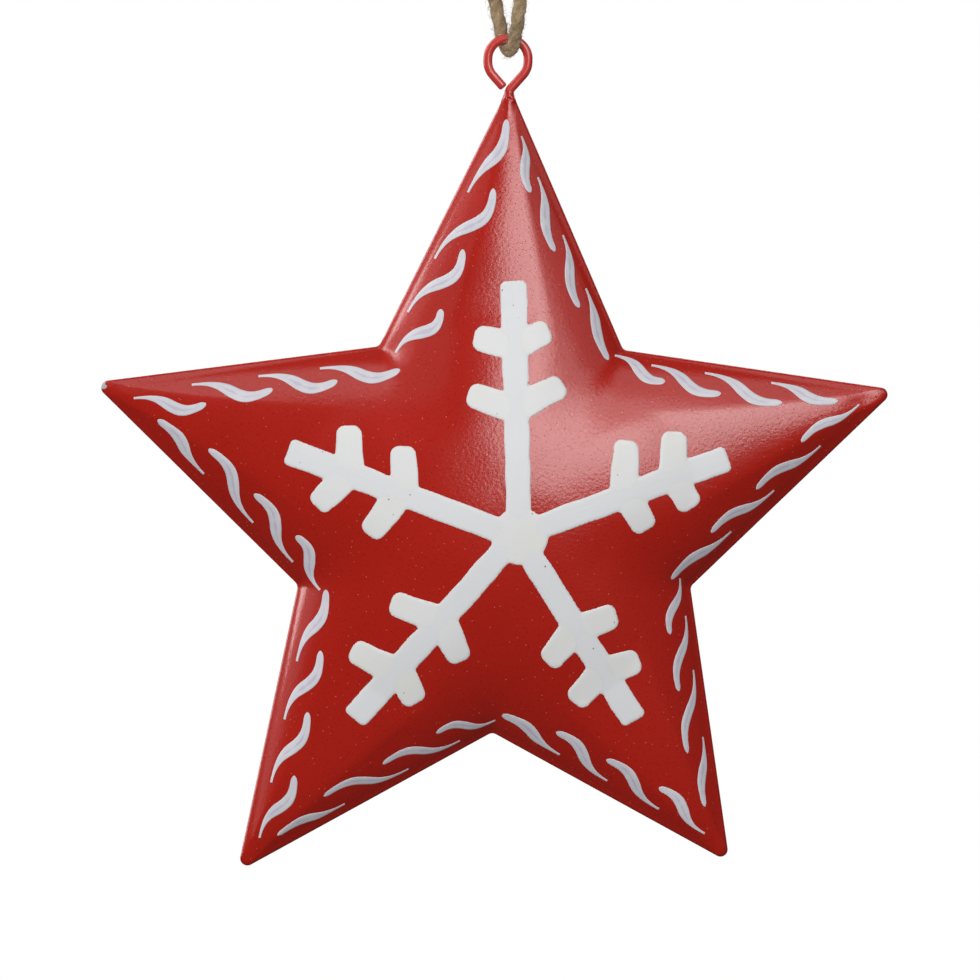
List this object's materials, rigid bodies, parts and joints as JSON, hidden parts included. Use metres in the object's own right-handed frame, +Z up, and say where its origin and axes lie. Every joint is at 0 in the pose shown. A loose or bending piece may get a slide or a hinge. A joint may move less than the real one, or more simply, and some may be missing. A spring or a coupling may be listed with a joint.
{
  "type": "puffed tin star ornament",
  "caption": "Puffed tin star of two pressed shells with a painted snowflake and dashed border, a bent wire eye at the top tip and a knotted jute twine loop to hang it by.",
  "frame": {"origin": "the hang point: inside the top of the twine loop, just under the knot, where a hook or twig carries the ornament", "axes": "+X to the right of the painted front, +Y away from the viewer (the front faces -Y), +Z up"},
  "size_m": [0.1299, 0.0252, 0.2071],
  "materials": {
    "red_enamel": "semi-gloss red enamel with a fine orange-peel surface on tinplate",
    "red_enamel_wire": "glossy dipped red enamel on wire",
    "solder": "dull soft solder",
    "white_paint": "thick brushed white paint, slightly satin",
    "jute": "hairy plied jute twine"
  },
  "bodies": {
    "twine": {"twine_loop": "jute", "twine_knot": "jute", "twine_tails": "jute"},
    "star": {"front_shell": "red_enamel", "back_shell": "red_enamel", "seam_solder": "solder", "hanging_eye": "red_enamel_wire", "eye_solder": "red_enamel_wire", "snowflake_paint": "white_paint", "border_paint": "white_paint"}
  },
  "joints": [
    {"name": "star_swing", "type": "hinge", "parent": "twine", "child": "star", "pos_m": [0, 0, -0.051], "axis": [0, 1, 0], "range_deg": [-75, 75]}
  ]
}
